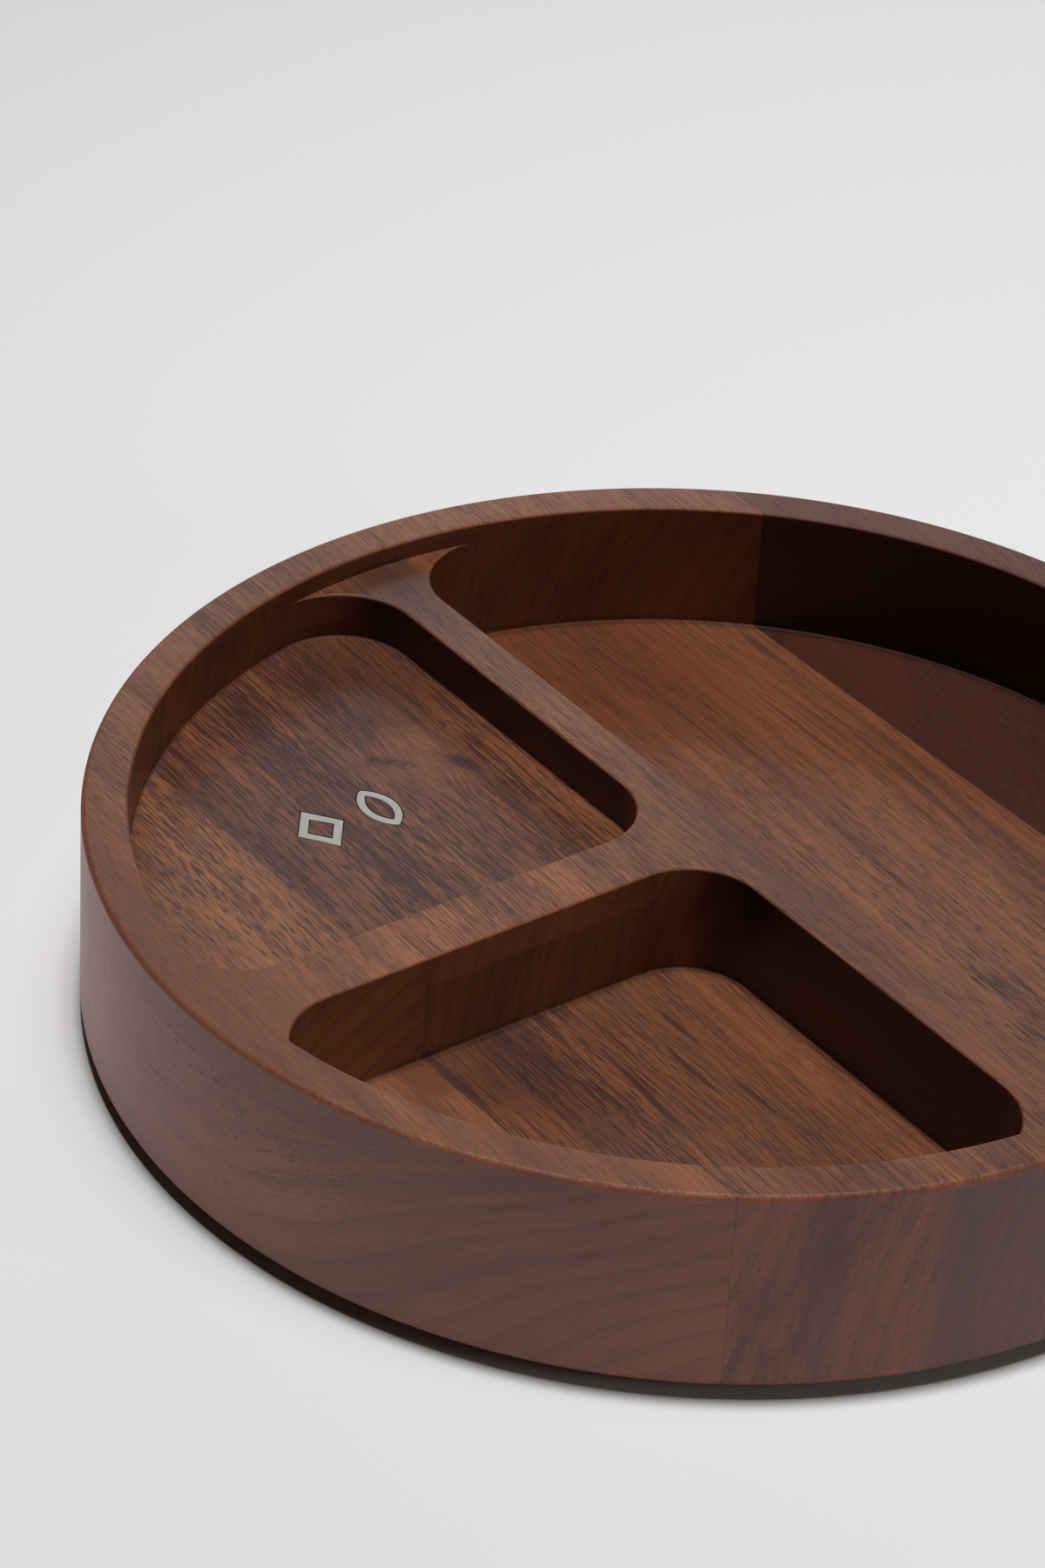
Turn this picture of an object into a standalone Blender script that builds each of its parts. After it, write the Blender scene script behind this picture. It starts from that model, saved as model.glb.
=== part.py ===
# Round walnut tray for jewelry: three glued staves, two metal inlays and four rubber feet
import math

import bmesh
import bpy
from mathutils import Vector

# Body, measured from its own underside
OUTER_RADIUS = 0.127
BODY_HEIGHT = 0.045
RIM_WIDTH = 0.0095
TOP_EDGE_RADIUS = 0.0012
INNER_EDGE_RADIUS = 0.0007
BOTTOM_EDGE_RADIUS = 0.0013

# Ribs: the long one runs along X, the short one from its middle to the front rim
RIB_DROP = 0.0045
LONG_RIB_WIDTH = 0.010
LONG_RIB_Y = -0.001
SHORT_RIB_WIDTH = 0.014

# Floor levels above the underside
DEEP_FLOOR = 0.016
SHALLOW_FLOOR = 0.030

# Pocket corners in plan
RIB_CORNER_RADIUS = 0.015
RIM_CORNER_RADIUS = 0.0163

# Outer staves, measured in from the rim's edge; their glue lines are turned a little in plan
FRONT_STAVE_DEPTH = 0.0521
BACK_STAVE_DEPTH = 0.0458
SEAM_SLOPE = 0.0114
GLUE_GAP = 0.0003

# Inlays, let in flush with the shallow floor
INLAY_THICKNESS = 0.0015
INLAY_GAP = 0.0003
INLAY_FROM_SHORT_RIB = 0.0467
INLAY_SPACING = 0.0146
LOZENGE_FROM_SEAM = 0.0165
LOZENGE_HALF_LENGTH = 0.0073
LOZENGE_HALF_WIDTH = 0.0056
LOZENGE_BORDER = 0.0019
LEAF_HALF_LENGTH = 0.0073
LEAF_HALF_WIDTH = 0.0039
LEAF_BORDER = 0.0017

# Feet, each in a shallow round recess
FOOT_RADIUS = 0.006
FOOT_EDGE = 0.0008
FOOT_FROM_EDGE = 0.026
FOOT_TURN = math.radians(30)
FOOT_STAND = 0.003
FOOT_RECESS = 0.0015
FOOT_GAP = 0.0003

# Curves are drawn with chords that leave the true arc by no more than this
CHORD_ERROR = 0.00004
EDGE_STEPS = 3
SHARP_ANGLE = math.radians(30)
FULL_TURN = 2 * math.pi

FRONT_SEAM_Y = FRONT_STAVE_DEPTH - OUTER_RADIUS
BACK_SEAM_Y = OUTER_RADIUS - BACK_STAVE_DEPTH
INLAY_X = -SHORT_RIB_WIDTH / 2 - INLAY_FROM_SHORT_RIB
LOZENGE_Y = FRONT_SEAM_Y + LOZENGE_FROM_SEAM
LEAF_Y = LOZENGE_Y + INLAY_SPACING
INNER_RADIUS = OUTER_RADIUS - RIM_WIDTH
RIM_Z = FOOT_STAND + BODY_HEIGHT
RIB_Z = RIM_Z - RIB_DROP
DEEP_Z = FOOT_STAND + DEEP_FLOOR
SHALLOW_Z = FOOT_STAND + SHALLOW_FLOOR


def clear_scene():
    for item in list(bpy.data.objects):
        bpy.data.objects.remove(item, do_unlink=True)


def make_material(name, colour, roughness, metallic):
    material = bpy.data.materials.new(name)
    material.use_nodes = True
    shader = material.node_tree.nodes["Principled BSDF"]
    shader.inputs["Base Color"].default_value = (*colour, 1.0)
    shader.inputs["Roughness"].default_value = roughness
    shader.inputs["Metallic"].default_value = metallic
    return material


def front_walnut():
    return make_material("front_walnut", (0.168, 0.083, 0.050), 0.46, 0.0)


def centre_walnut():
    return make_material("centre_walnut", (0.135, 0.062, 0.037), 0.46, 0.0)


def back_walnut():
    return make_material("back_walnut", (0.112, 0.051, 0.034), 0.46, 0.0)


def brushed_steel():
    return make_material("brushed_steel", (0.56, 0.55, 0.53), 0.34, 1.0)


def black_rubber():
    return make_material("black_rubber", (0.018, 0.018, 0.018), 0.72, 0.0)


def finish(mesh_data, name, material):
    """Turn edited geometry into a named object with smooth round faces."""
    bmesh.ops.recalc_face_normals(mesh_data, faces=mesh_data.faces[:])
    mesh = bpy.data.meshes.new(name)
    mesh_data.to_mesh(mesh)
    mesh_data.free()
    if material:
        mesh.materials.append(material)
    mesh.shade_smooth()
    mesh.set_sharp_from_angle(angle=SHARP_ANGLE)
    item = bpy.data.objects.new(name, mesh)
    bpy.context.scene.collection.objects.link(item)
    return item


def arc_angles(radius, start, end):
    """Angles along an arc from start up to, but not including, end."""
    step = 2 * math.acos(1 - CHORD_ERROR / radius)
    count = max(1, math.ceil(abs(end - start) / step))
    return [start + (end - start) * index / count for index in range(count)]


def arc(centre, radius, start, end):
    """Points along an arc, both ends included."""
    angles = arc_angles(radius, start, end) + [end]
    return [
        (centre[0] + radius * math.cos(angle), centre[1] + radius * math.sin(angle))
        for angle in angles
    ]


def loop_at(mesh_data, points, z):
    return [mesh_data.verts.new((x, y, z)) for x, y in points]


def circle(radius, angles):
    return [(radius * math.cos(angle), radius * math.sin(angle)) for angle in angles]


def join_loops(mesh_data, first, second):
    """Close the band between two loops with the same number of corners."""
    count = len(first)
    for index in range(count):
        after = (index + 1) % count
        corners = (first[index], first[after], second[after], second[index])
        mesh_data.faces.new(corners)


def stack_of_loops(mesh_data, outlines):
    """Loops at rising or falling levels, with the bands between them."""
    loops = [loop_at(mesh_data, points, z) for points, z in outlines]
    for first, second in zip(loops, loops[1:]):
        join_loops(mesh_data, first, second)
    return loops


def prism(mesh_data, points, low, high):
    bottom, top = stack_of_loops(mesh_data, [(points, low), (points, high)])
    mesh_data.faces.new(bottom)
    mesh_data.faces.new(top)


def frame_prism(mesh_data, outer, inner, low, high):
    """Upright prism between an outer and an inner outline with matching corners."""
    outlines = [(outer, low), (outer, high), (inner, high), (inner, low)]
    loops = stack_of_loops(mesh_data, outlines)
    join_loops(mesh_data, loops[-1], loops[0])


def quarter_round(radius, edge, corner_z, outwards, upwards):
    """Radius and level of each loop over a rounded edge, from the flat face to the wall."""
    profile = []
    for index in range(EDGE_STEPS + 1):
        angle = math.pi / 2 * index / EDGE_STEPS
        out = radius - outwards * edge * (1 - math.sin(angle))
        level = corner_z + upwards * edge * (1 - math.cos(angle))
        profile.append((out, level))
    return profile


def rim_corner(line_distance):
    """Centre distance along a rib line, and turn, of a corner that meets the rim's inner wall."""
    along = math.sqrt((INNER_RADIUS - RIM_CORNER_RADIUS) ** 2 - line_distance**2)
    return along, math.atan2(line_distance, along)


def back_pocket():
    """Rim arc and inner outline of the large compartment, anticlockwise."""
    line_y = LONG_RIB_Y + LONG_RIB_WIDTH / 2
    centre_y = line_y + RIM_CORNER_RADIUS
    along, turn = rim_corner(centre_y)
    left = arc((-along, centre_y), RIM_CORNER_RADIUS, math.pi - turn, math.pi * 3 / 2)
    right = arc((along, centre_y), RIM_CORNER_RADIUS, math.pi * 3 / 2, FULL_TURN + turn)
    return turn, math.pi - turn, left[1:] + right[:-1], DEEP_Z


def right_pocket():
    """Rim arc and inner outline of the right front pocket, anticlockwise."""
    rib_y = LONG_RIB_Y - LONG_RIB_WIDTH / 2
    rib_x = SHORT_RIB_WIDTH / 2
    upper_y = rib_y - RIM_CORNER_RADIUS
    upper_along, upper_turn = rim_corner(upper_y)
    lower_x = rib_x + RIM_CORNER_RADIUS
    lower_along, lower_turn = rim_corner(lower_x)
    start = FULL_TURN * 3 / 4 + lower_turn
    end = FULL_TURN + upper_turn
    upper = arc((upper_along, upper_y), RIM_CORNER_RADIUS, end, FULL_TURN * 5 / 4)
    corner = (rib_x + RIB_CORNER_RADIUS, rib_y - RIB_CORNER_RADIUS)
    middle = arc(corner, RIB_CORNER_RADIUS, math.pi / 2, math.pi)
    lower = arc((lower_x, -lower_along), RIM_CORNER_RADIUS, math.pi, start)
    return start, end, upper[1:] + middle + lower[:-1], DEEP_Z


def left_pocket():
    """The right front pocket mirrored, with a shallow floor."""
    start, end, inner, _ = right_pocket()
    mirrored = [(-x, y) for x, y in reversed(inner)]
    return math.pi * 3 - end, math.pi * 3 - start, mirrored, SHALLOW_Z


def whole_body():
    """The tray's wood as one closed body, before the glue lines cut it."""
    pockets = [back_pocket(), left_pocket(), right_pocket()]
    angles = []
    spans = []
    for index, pocket in enumerate(pockets):
        first = len(angles)
        angles += arc_angles(OUTER_RADIUS, pocket[0], pocket[1])
        spans.append((first, len(angles)))
        following = pockets[(index + 1) % len(pockets)][0]
        if following < pocket[1]:
            following += FULL_TURN
        angles += arc_angles(OUTER_RADIUS, pocket[1], following)

    mesh_data = bmesh.new()
    bottom = quarter_round(OUTER_RADIUS, BOTTOM_EDGE_RADIUS, FOOT_STAND, 1, 1)
    top = quarter_round(OUTER_RADIUS, TOP_EDGE_RADIUS, RIM_Z, 1, -1)
    inside = quarter_round(INNER_RADIUS, INNER_EDGE_RADIUS, RIM_Z, -1, -1)
    profile = bottom + top[::-1] + inside + [(INNER_RADIUS, RIB_Z)]
    outlines = [(circle(radius, angles), z) for radius, z in profile]
    loops = stack_of_loops(mesh_data, outlines)
    mesh_data.faces.new(loops[0])

    rim = loops[-1]
    rib_top = []
    for index, pocket in enumerate(pockets):
        first, last = spans[index]
        following = spans[(index + 1) % len(spans)][0] or len(rim)
        inner = loop_at(mesh_data, pocket[2], RIB_Z)
        outline = rim[first : last + 1] + inner
        floor = loop_at(mesh_data, [vert.co.xy for vert in outline], pocket[3])
        join_loops(mesh_data, outline, floor)
        mesh_data.faces.new(floor)
        rib_top += [rim[first]] + inner[::-1] + rim[last:following]
    mesh_data.faces.new(rib_top)
    return mesh_data


def cut_at_seam(mesh_data, seam_y, side):
    """Keep the wood on one side of a glue line, half the glue gap away from it."""
    across = Vector((-SEAM_SLOPE, 1, 0)).normalized() * side
    plane_point = Vector((0, seam_y, 0)) + across * (GLUE_GAP / 2)
    parts = mesh_data.verts[:] + mesh_data.edges[:] + mesh_data.faces[:]
    bmesh.ops.bisect_plane(
        mesh_data, geom=parts, plane_co=plane_point, plane_no=across, clear_inner=True
    )
    open_edges = [edge for edge in mesh_data.edges if edge.is_boundary]
    bmesh.ops.contextual_create(mesh_data, geom=open_edges)


def front_stave():
    mesh_data = whole_body()
    cut_at_seam(mesh_data, FRONT_SEAM_Y, -1)
    return finish(mesh_data, "front_stave", front_walnut())


def back_stave():
    mesh_data = whole_body()
    cut_at_seam(mesh_data, BACK_SEAM_Y, 1)
    return finish(mesh_data, "back_stave", back_walnut())


def centre_stave():
    mesh_data = whole_body()
    cut_at_seam(mesh_data, FRONT_SEAM_Y, 1)
    cut_at_seam(mesh_data, BACK_SEAM_Y, -1)
    stave = finish(mesh_data, "centre_stave", centre_walnut())
    cut = stave.modifiers.new("recesses", "BOOLEAN")
    cut.operation = "DIFFERENCE"
    cut.solver = "EXACT"
    cut.object = recess_cutter()
    return stave


def lozenge(grown):
    """Lozenge with its sides moved outwards by the given distance."""
    length, width = LOZENGE_HALF_LENGTH, LOZENGE_HALF_WIDTH
    side_distance = length * width / math.hypot(length, width)
    share = 1 + grown / side_distance
    corners = [(length, 0), (0, width), (-length, 0), (0, -width)]
    return [(INLAY_X + x * share, LOZENGE_Y + y * share) for x, y in corners]


def leaf(grown):
    """Pointed oval of two arcs, moved outwards by the given distance."""
    length, width = LEAF_HALF_LENGTH, LEAF_HALF_WIDTH
    base_radius = (length**2 + width**2) / (2 * width)
    offset = base_radius - width
    base_turn = math.acos(offset / base_radius)
    steps = len(arc_angles(base_radius, -base_turn, base_turn))
    radius = base_radius + grown
    half_turn = math.acos(offset / radius)
    upper = []
    for index in range(steps):
        angle = half_turn * (2 * index / steps - 1)
        upper.append((-radius * math.sin(angle), radius * math.cos(angle) - offset))
    lower = [(-x, -y) for x, y in upper]
    return [(INLAY_X + x, LEAF_Y + y) for x, y in upper + lower]


def inlay(name, outline, border):
    mesh_data = bmesh.new()
    low = SHALLOW_Z - INLAY_THICKNESS
    frame_prism(mesh_data, outline(0), outline(-border), low, SHALLOW_Z)
    return finish(mesh_data, name, brushed_steel())


def foot_places():
    x = (OUTER_RADIUS - FOOT_FROM_EDGE) * math.cos(FOOT_TURN)
    y = (OUTER_RADIUS - FOOT_FROM_EDGE) * math.sin(FOOT_TURN)
    return {
        "foot_front_left": (-x, -y),
        "foot_front_right": (x, -y),
        "foot_back_left": (-x, y),
        "foot_back_right": (x, y),
    }


def foot(name, centre, material):
    top = FOOT_STAND + FOOT_RECESS - FOOT_GAP
    inset = FOOT_RADIUS - FOOT_EDGE
    profile = [(inset, 0), (FOOT_RADIUS, FOOT_EDGE), (FOOT_RADIUS, top)]
    angles = arc_angles(FOOT_RADIUS, 0, FULL_TURN)
    outlines = []
    for radius, z in profile:
        points = [(centre[0] + x, centre[1] + y) for x, y in circle(radius, angles)]
        outlines.append((points, z))
    mesh_data = bmesh.new()
    loops = stack_of_loops(mesh_data, outlines)
    mesh_data.faces.new(loops[0])
    mesh_data.faces.new(loops[-1])
    return finish(mesh_data, name, material)


def recess_cutter():
    """Everything that is let into the centre stave, with its gap."""
    mesh_data = bmesh.new()
    low = SHALLOW_Z - INLAY_THICKNESS - INLAY_GAP
    for outline, border in ((lozenge, LOZENGE_BORDER), (leaf, LEAF_BORDER)):
        outer = outline(INLAY_GAP)
        inner = outline(-border - INLAY_GAP)
        frame_prism(mesh_data, outer, inner, low, RIB_Z)
    for centre in foot_places().values():
        points = arc(centre, FOOT_RADIUS + FOOT_GAP, 0, FULL_TURN)[:-1]
        prism(mesh_data, points, 0, FOOT_STAND + FOOT_RECESS)
    cutter = finish(mesh_data, "recess_cutter", None)
    cutter.hide_render = True
    cutter.display_type = "WIRE"
    return cutter


def build():
    clear_scene()
    front_stave()
    centre_stave()
    back_stave()
    inlay("lozenge_inlay", lozenge, LOZENGE_BORDER)
    inlay("leaf_inlay", leaf, LEAF_BORDER)
    rubber = black_rubber()
    for name, centre in foot_places().items():
        foot(name, centre, rubber)


build()
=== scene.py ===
import math

import bmesh
import bpy
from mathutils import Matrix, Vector


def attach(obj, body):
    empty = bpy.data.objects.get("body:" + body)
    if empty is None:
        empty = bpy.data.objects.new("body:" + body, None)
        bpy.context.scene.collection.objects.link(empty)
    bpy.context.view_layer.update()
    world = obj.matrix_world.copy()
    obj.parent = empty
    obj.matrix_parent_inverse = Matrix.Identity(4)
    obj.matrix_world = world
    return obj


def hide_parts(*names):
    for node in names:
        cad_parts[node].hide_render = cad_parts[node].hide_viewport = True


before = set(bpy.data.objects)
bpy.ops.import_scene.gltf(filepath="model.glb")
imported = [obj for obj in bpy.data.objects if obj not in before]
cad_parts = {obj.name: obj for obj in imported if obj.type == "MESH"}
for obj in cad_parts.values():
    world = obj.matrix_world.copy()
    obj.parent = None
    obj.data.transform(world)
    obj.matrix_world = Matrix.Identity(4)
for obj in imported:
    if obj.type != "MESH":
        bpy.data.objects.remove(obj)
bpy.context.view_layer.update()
print("frame loaded:", len(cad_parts), "nodes")


# a socket that can be used in Python maths
class Wire:
    def __init__(self, paint, socket):
        self.paint = paint
        self.socket = socket

    def __add__(self, other):
        return self.paint.calc("ADD", self, other)

    __radd__ = __add__

    def __sub__(self, other):
        return self.paint.calc("SUBTRACT", self, other)

    def __rsub__(self, other):
        return self.paint.calc("SUBTRACT", other, self)

    def __mul__(self, other):
        return self.paint.calc("MULTIPLY", self, other)

    __rmul__ = __mul__

    def __truediv__(self, other):
        return self.paint.calc("DIVIDE", self, other)


# a material's node tree, built from expressions
class Paint:
    def __init__(self, name):
        self.material = bpy.data.materials.new(name)
        self.material.use_nodes = True
        self.tree = self.material.node_tree
        self.shader = self.tree.nodes["Principled BSDF"]

    # one node: its settings are set first, then its sockets are given values or links
    def add(self, kind, settings=None, sockets=None, output=0):
        node = self.tree.nodes.new(kind)
        for name, value in (settings or {}).items():
            setattr(node, name, value)
        for name, value in (sockets or {}).items():
            self.feed(node.inputs[name], value)
        return Wire(self, node.outputs[output])

    def feed(self, socket, value):
        if isinstance(value, Wire):
            self.tree.links.new(value.socket, socket)
        elif hasattr(value, "__len__") and len(value) == 3 and socket.type == "RGBA":
            socket.default_value = (*value, 1)
        else:
            socket.default_value = value

    def calc(self, operation, *values):
        sockets = {index: value for index, value in enumerate(values)}
        return self.add("ShaderNodeMath", {"operation": operation}, sockets)

    def vector(self, operation, first, second):
        sockets = {0: first, 1: second}
        return self.add("ShaderNodeVectorMath", {"operation": operation}, sockets)

    # a piece's own coordinates, in mm
    def millimetres(self):
        place = self.add("ShaderNodeTexCoord", output=3)
        return self.vector("MULTIPLY", place, (1000, 1000, 1000))

    def parts(self, vector):
        node = self.tree.nodes.new("ShaderNodeSeparateXYZ")
        self.feed(node.inputs[0], vector)
        return [Wire(self, output) for output in node.outputs]

    def join(self, x, y, z):
        return self.add("ShaderNodeCombineXYZ", None, {0: x, 1: y, 2: z})

    # a value's place between low and high, as a smooth 0 to 1
    def smooth(self, value, low, high):
        settings = {"interpolation_type": "SMOOTHSTEP"}
        sockets = {"Value": value, "From Min": low, "From Max": high}
        return self.add("ShaderNodeMapRange", settings, sockets)

    def mix(self, share, first, second, blend="MIX"):
        settings = {"data_type": "RGBA", "blend_type": blend}
        sockets = {0: share, 6: first, 7: second}
        return self.add("ShaderNodeMix", settings, sockets, 2)

    def noise(self, vector, scale, detail, roughness, output=0):
        sockets = {"Vector": vector, "Scale": scale, "Detail": detail, "Roughness": roughness}
        return self.add("ShaderNodeTexNoise", None, sockets, output)

    def bump(self, height, distance, strength):
        sockets = {"Height": height, "Distance": distance, "Strength": strength}
        return self.add("ShaderNodeBump", None, sockets)

    def finish(self, **inputs):
        for name, value in inputs.items():
            self.feed(self.shader.inputs[name.replace("_", " ")], value)
        return self.material


# what the three boards share; lengths in mm, and each pair of limits fades from 0 to 1
wood = {
    # the kinds of face, by the way they face and where they are
    "endGrainFacing": (0.25, 0.85),
    "uprightFacing": (0.75, 0.3),
    "paintedShadeFacing": (-0.5, -0.95),  # walls that face away from the light
    "edgeStart": (0.12, 0.4),  # rounded edges, from upright to nearly level
    "edgeEnd": (0.995, 0.93),
    "routedWithin": (118.6, 117.8),  # radius of the pockets' walls
    "turnedBeyond": (126.2, 126.7),  # radius of the outer wall
    "raisedAbove": (42.6, 43.4),  # tops of the ribs and the rim
    "deepBelow": (30, 22),  # floors of the deep pockets
    "besideRib": (16, 10),  # the short rib's walls, by distance from its middle
    "layerFade": 1,  # how far a layer of marks fades out above and below
    # slow wander of the grain, and the patches of pores: stretch along X, Y and Z
    "drift": (0.006, 0.02, 0.02),
    "patch": (0.02, 0.12, 0.12),
    "ringDrift": 1.5,
    # stretch along the grain, across the rings and round them; detail; roughness
    "bandNoise": (0.003, 0.07, 0.022, 3, 0.6),
    "streakNoise": (0.014, 0.42, 0.10, 4, 0.66),
    "calmNoise": (0.006, 0.045, 0.02, 1, 0.5),
    "fibreNoise": (0.05, 1.6, 1.0, 3, 0.7),
    "lateWood": (0.45, 0.95),
    "ringEnd": (0.96, 1.0),
    "bandLimits": (0.36, 0.64),
    "streakLimits": (0.50, 0.68),
    "streakCalm": 0.5,
    "fibreLimits": (0.42, 0.70),
    # pores: stretch along and across the grain, and how softly they begin
    "line": (0.07, 3.1),
    "lineSoftness": 0.12,
    "dash": (0.24, 3.1),
    "dashSoftness": 0.07,
    # where they crowd
    "crowdedFrom": (12, -14),  # towards the front pockets
    "patchCrowd": 0.30,
    "calmCrowd": 0.15,
    "uprightThin": 0.16,  # fewer on upright faces
    # the share of them that is missing
    "endGrainBare": 0.8,
    "raisedBare": 0.3,
    "deepBare": 0.3,
    # how the kinds of face change the colour
    "endGrainTint": (0.95, 0.84, 0.90),
    "turnedTint": (1.12, 1.02, 1.12),
    # painted bounce light: routed walls take the deeper orange of light reflected from the wood
    # round them
    "paintedBounceTint": (1.05, 0.95, 0.68),
    # painted shade: routed walls that face away from the light are darkened
    "paintedShadeTint": (0.22, 0.06, 0.06),
    "besideRibTint": (1.20, 1.40, 1.65),
    "edgeTint": (1.10, 0.86, 0.68),
    "edgeShare": 0.8,
    # touch and shine
    "fibreHeight": 0.35,
    "lineHeight": 0.3,
    "dashHeight": 0.6,
    "grainDepth": 0.00006,  # metres
    "grainStrength": 0.5,
    "dashRoughness": 0.12,
    "fibreRoughness": 0.1,
    "edgeRoughness": 0.24,
}


# a board's material: grain along X, cut from round the pith, with streaks and pores;
# each noise lies about 0.5
class Walnut(Paint):
    def __init__(self, name, look, figures):
        super().__init__(name)
        self.look = look
        self.mm = self.millimetres()
        self.x, self.y, self.z = self.parts(self.mm)
        self.sortFaces()
        self.layGrain()
        self.addFigures(figures)
        self.growRings()
        self.openPores()
        self.finishWood(self.colourFaces(self.colourGrain()))

    # noise that starts elsewhere for each board
    def woodNoise(self, vector, detail, roughness=0.5, output=0):
        started = self.vector("ADD", vector, self.look["seed"])
        return self.noise(started, 1, detail, roughness, output)

    # the kinds of face: end grain, upright, routed, turned, walls with painted shade, and rounded
    def sortFaces(self):
        facingX, facingY, facingZ = self.parts(self.add("ShaderNodeTexCoord", output=1))
        fromAxis = self.calc("SQRT", self.x * self.x + self.y * self.y)
        fromRib = self.calc("ABSOLUTE", self.x)
        self.endGrain = self.smooth(self.calc("ABSOLUTE", facingX), *wood["endGrainFacing"])
        self.upright = self.smooth(facingZ, *wood["uprightFacing"])
        self.routed = self.upright * self.smooth(fromAxis, *wood["routedWithin"])
        self.turned = self.upright * self.smooth(fromAxis, *wood["turnedBeyond"])
        # painted shade mask: routed walls that face away from the light
        self.paintedShade = self.routed * self.smooth(facingY, *wood["paintedShadeFacing"])
        self.besideRib = self.routed * self.endGrain * self.smooth(fromRib, *wood["besideRib"])
        edgeStart = self.smooth(facingZ, *wood["edgeStart"])
        self.edge = edgeStart * self.smooth(facingZ, *wood["edgeEnd"])

    # slow wander of the grain, long along X
    def layGrain(self):
        look = self.look
        stretched = self.vector("MULTIPLY", self.mm, wood["drift"])
        drift = self.woodNoise(stretched, detail=2, roughness=0.45, output=1)
        driftX, driftY, self.driftZ = self.parts(drift)
        self.grainY = self.y + (driftX - 0.5) * look["wander"] + self.x * look["slant"]
        self.grainZ = self.z + (driftY - 0.5) * look["wander"]

    # knots and patches between two heights: soft ovals that spread, open and tint the grain
    def addFigures(self, figures):
        self.tints = []
        self.poreShare = 1.0
        fade = wood["layerFade"]
        for lowest, highest, outerOnly, ovals in figures:
            above = self.smooth(self.z, lowest - fade, lowest)
            level = above * self.smooth(self.z, highest + fade, highest)
            if outerOnly:
                level = level * self.turned
            for mark in ovals:
                self.addOval(mark, level)

    def addOval(self, mark, level):
        offX = self.x - mark["x"]
        offY = self.y - mark["y"] - offX * mark.get("slant", 0)
        reachX, reachY = offX / mark["long"], offY / mark["wide"]
        reach = reachX * reachX + reachY * reachY
        near = level * self.smooth(reach, 1.0, mark.get("core", 0))
        if "spread" in mark:
            self.grainY = self.grainY - near * offY * mark["spread"]
        if "pores" in mark:
            self.poreShare = (1 + near * mark["pores"]) * self.poreShare
        if "tint" in mark:
            self.tints.append((near * mark["share"], mark["tint"]))

    # rings by the distance from the pith, and colour bands, streaks and fibres along them
    def growRings(self):
        look = self.look
        ringY = self.grainY - look["pithY"]
        ringZ = self.grainZ - look["pithZ"]
        distance = self.calc("SQRT", ringY * ringY + ringZ * ringZ)
        around = self.calc("ARCTAN2", ringZ, ringY) * look["pithReach"]
        rings = distance / look["ringWidth"] + self.driftZ * wood["ringDrift"]
        age = self.calc("FRACT", rings)
        ringEnd = self.smooth(age, *wood["ringEnd"])
        self.late = self.smooth(age, *wood["lateWood"]) * (1 - ringEnd)

        def grain(along, across, aside, detail, roughness):
            vector = self.join(self.x * along, distance * across, around * aside)
            return self.woodNoise(vector, detail, roughness)

        self.band = grain(*wood["bandNoise"])
        self.calm = grain(*wood["calmNoise"])
        self.fibre = grain(*wood["fibreNoise"])
        streak = grain(*wood["streakNoise"]) + (self.calm - 0.5) * wood["streakCalm"]
        self.streaks = self.smooth(streak, *wood["streakLimits"])

    # pores: long fine lines along the grain, and short open dashes among them
    def openPores(self):
        look = self.look
        patch = self.woodNoise(self.vector("MULTIPLY", self.mm, wood["patch"]), detail=2)
        crowd = (patch - 0.5) * wood["patchCrowd"] + (self.calm - 0.5) * wood["calmCrowd"]
        crowd = crowd + self.smooth(self.y, *wood["crowdedFrom"]) * look["crowding"]
        crowd = crowd - self.upright * wood["uprightThin"]

        along, across = wood["line"]
        vector = self.join(self.x * along, self.grainY * across, self.z * across)
        limits = look["lineFrom"], look["lineFrom"] + wood["lineSoftness"]
        self.lines = self.smooth(self.woodNoise(vector, detail=1) + crowd, *limits)

        along, across = wood["dash"]
        vector = self.join(self.x * along, self.grainY * across, self.grainZ * across)
        limits = look["dashFrom"], look["dashFrom"] + wood["dashSoftness"]
        self.dashes = self.smooth(self.woodNoise(vector, detail=0) + crowd, *limits)

        # hardly any on end grain, and fewer on the ribs, the rim and the deep floors
        onEndGrain = 1 - self.endGrain * wood["endGrainBare"]
        onRaised = 1 - self.smooth(self.z, *wood["raisedAbove"]) * wood["raisedBare"]
        onDeep = 1 - self.smooth(self.z, *wood["deepBelow"]) * wood["deepBare"]
        self.poreShare = onEndGrain * onRaised * onDeep * self.poreShare

    def colourGrain(self):
        look = self.look
        band = self.smooth(self.band, *wood["bandLimits"])
        colour = self.mix(band, look["dark"], look["light"])
        colour = self.mix(self.streaks * look["streaks"], colour, look["streak"])
        colour = self.mix(self.late * look["late"], colour, look["streak"])
        for share, tint in self.tints:
            colour = self.mix(share, colour, tint)
        fibres = self.smooth(self.fibre, *wood["fibreLimits"]) * look["fibres"]
        colour = self.mix(fibres, colour, look["streak"])
        colour = self.mix(self.lines * self.poreShare * look["lines"], colour, look["pore"])
        return self.mix(self.dashes * self.poreShare * look["dashes"], colour, look["pore"])

    # end grain drinks more oil, routed walls take painted bounce light, walls facing away from the
    # light take painted shade, and rounded edges wear darker
    def colourFaces(self, colour):
        for share, tint in (
            (self.endGrain * self.upright, wood["endGrainTint"]),
            (self.turned, wood["turnedTint"]),
            (self.routed, wood["paintedBounceTint"]),
            (self.paintedShade, wood["paintedShadeTint"]),
            (self.besideRib, wood["besideRibTint"]),
            (self.edge * wood["edgeShare"], wood["edgeTint"]),
        ):
            colour = self.mix(share, colour, tint, "MULTIPLY")
        return colour

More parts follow.
